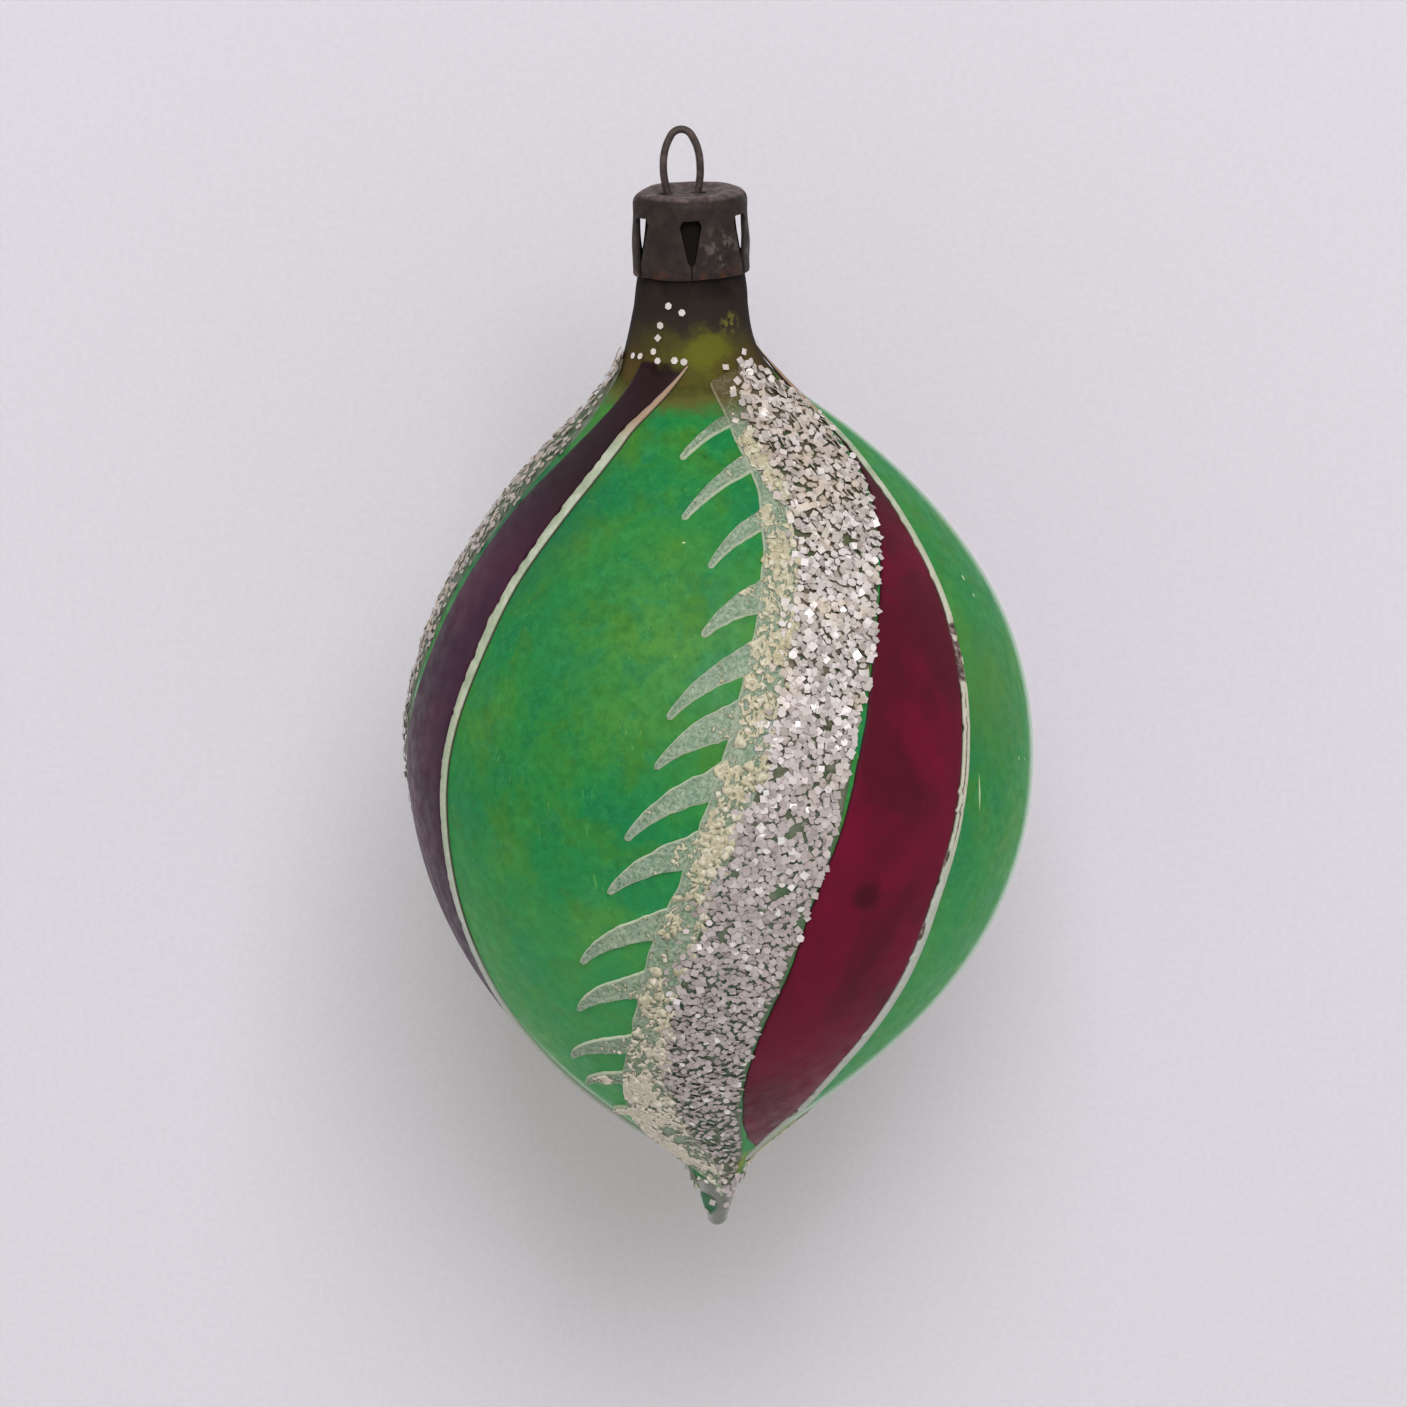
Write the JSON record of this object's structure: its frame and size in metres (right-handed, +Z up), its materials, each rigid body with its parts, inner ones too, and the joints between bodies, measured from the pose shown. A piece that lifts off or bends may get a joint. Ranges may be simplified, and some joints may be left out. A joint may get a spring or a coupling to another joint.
{
  "type": "hanging glass tree ornament",
  "caption": "Blown glass tree ornament: a lemon-shaped bulb with a drawn tip, painted stripes, frosted combs and glitter bands, a slotted tin cap and a sprung wire hanging loop.",
  "frame": {"origin": "the point where the ornament hangs: the underside of the wire loop, on the ornament's axis", "axes": "+Z up along the axis from the tip to the loop, -Y towards the front, +X to the right across the loop's width"},
  "size_m": [0.0521, 0.0522, 0.0927],
  "materials": {
    "clear_glass": "thin blown glass, olive-brown in the neck, clear grey-green at the tip",
    "green_lacquer": "translucent green lacquer, satin, finely mottled and scratched",
    "burgundy_paint": "translucent burgundy paint, soft gloss",
    "dark_plum_paint": "dark plum paint, soft gloss with a mauve sheen",
    "white_paint": "raised cream-white line, matt and slightly chipped",
    "frosted_relief": "translucent frosted cream relief with yellowed adhesive",
    "glitter": "silver-white square flakes in adhesive",
    "aged_tin": "oxidised tin plate, dull grey-brown with rust at the lower edge",
    "aged_wire": "dull dark wire"
  },
  "bodies": {
    "glass_ball": {"glass_envelope": "clear_glass", "green_lacquer": "green_lacquer", "plum_stripe_1": "burgundy_paint", "plum_stripe_2": "dark_plum_paint", "plum_stripe_3": "burgundy_paint", "white_line_1": "white_paint", "white_line_2": "white_paint", "white_line_3": "white_paint", "comb_band_1": "frosted_relief", "comb_band_2": "frosted_relief", "comb_band_3": "frosted_relief", "glitter_band_1": "glitter", "glitter_band_2": "glitter", "glitter_band_3": "glitter"},
    "cap": {"hanger_cap": "aged_tin"},
    "hanger": {"hanger_wire": "aged_wire"}
  },
  "joints": [
    {"name": "cap_lift", "type": "slide", "parent": "glass_ball", "child": "cap", "axis": [0, 0, 1], "range_m": [0, 0.02]},
    {"name": "hanger_slide", "type": "slide", "parent": "cap", "child": "hanger", "axis": [0, 0, 1], "range_m": [0, 0.002]}
  ]
}
